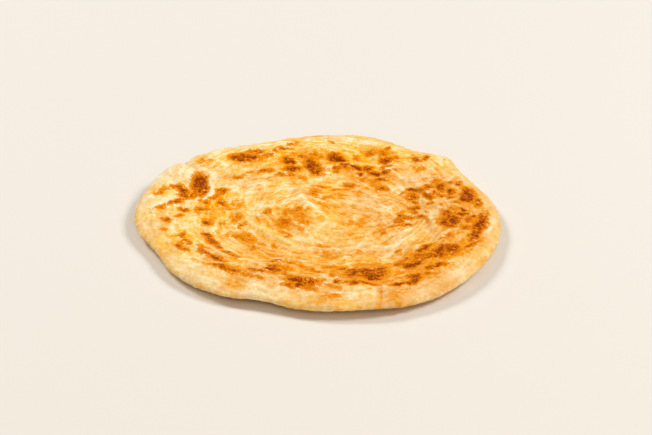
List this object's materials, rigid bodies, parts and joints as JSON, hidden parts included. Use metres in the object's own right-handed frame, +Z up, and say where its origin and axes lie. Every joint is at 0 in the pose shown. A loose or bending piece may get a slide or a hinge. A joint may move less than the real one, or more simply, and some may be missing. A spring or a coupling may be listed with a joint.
{
  "type": "tawa paratha",
  "caption": "Round pan-fried layered flatbread, lying flat, with a lifted rounded rim, a raised middle fold and blistered, browned top.",
  "frame": {"origin": "on the surface the bread lies on, below the middle of its box", "axes": "+Z up through the bread, +X to its right and +Y away from the side usually seen"},
  "size_m": [0.2198, 0.222, 0.0151],
  "materials": {
    "toasted_dough": "cooked wheat dough, cream to gold with dark brown pan marks, faintly shiny with fat"
  },
  "bodies": {
    "root": {"paratha": "toasted_dough"}
  },
  "joints": []
}
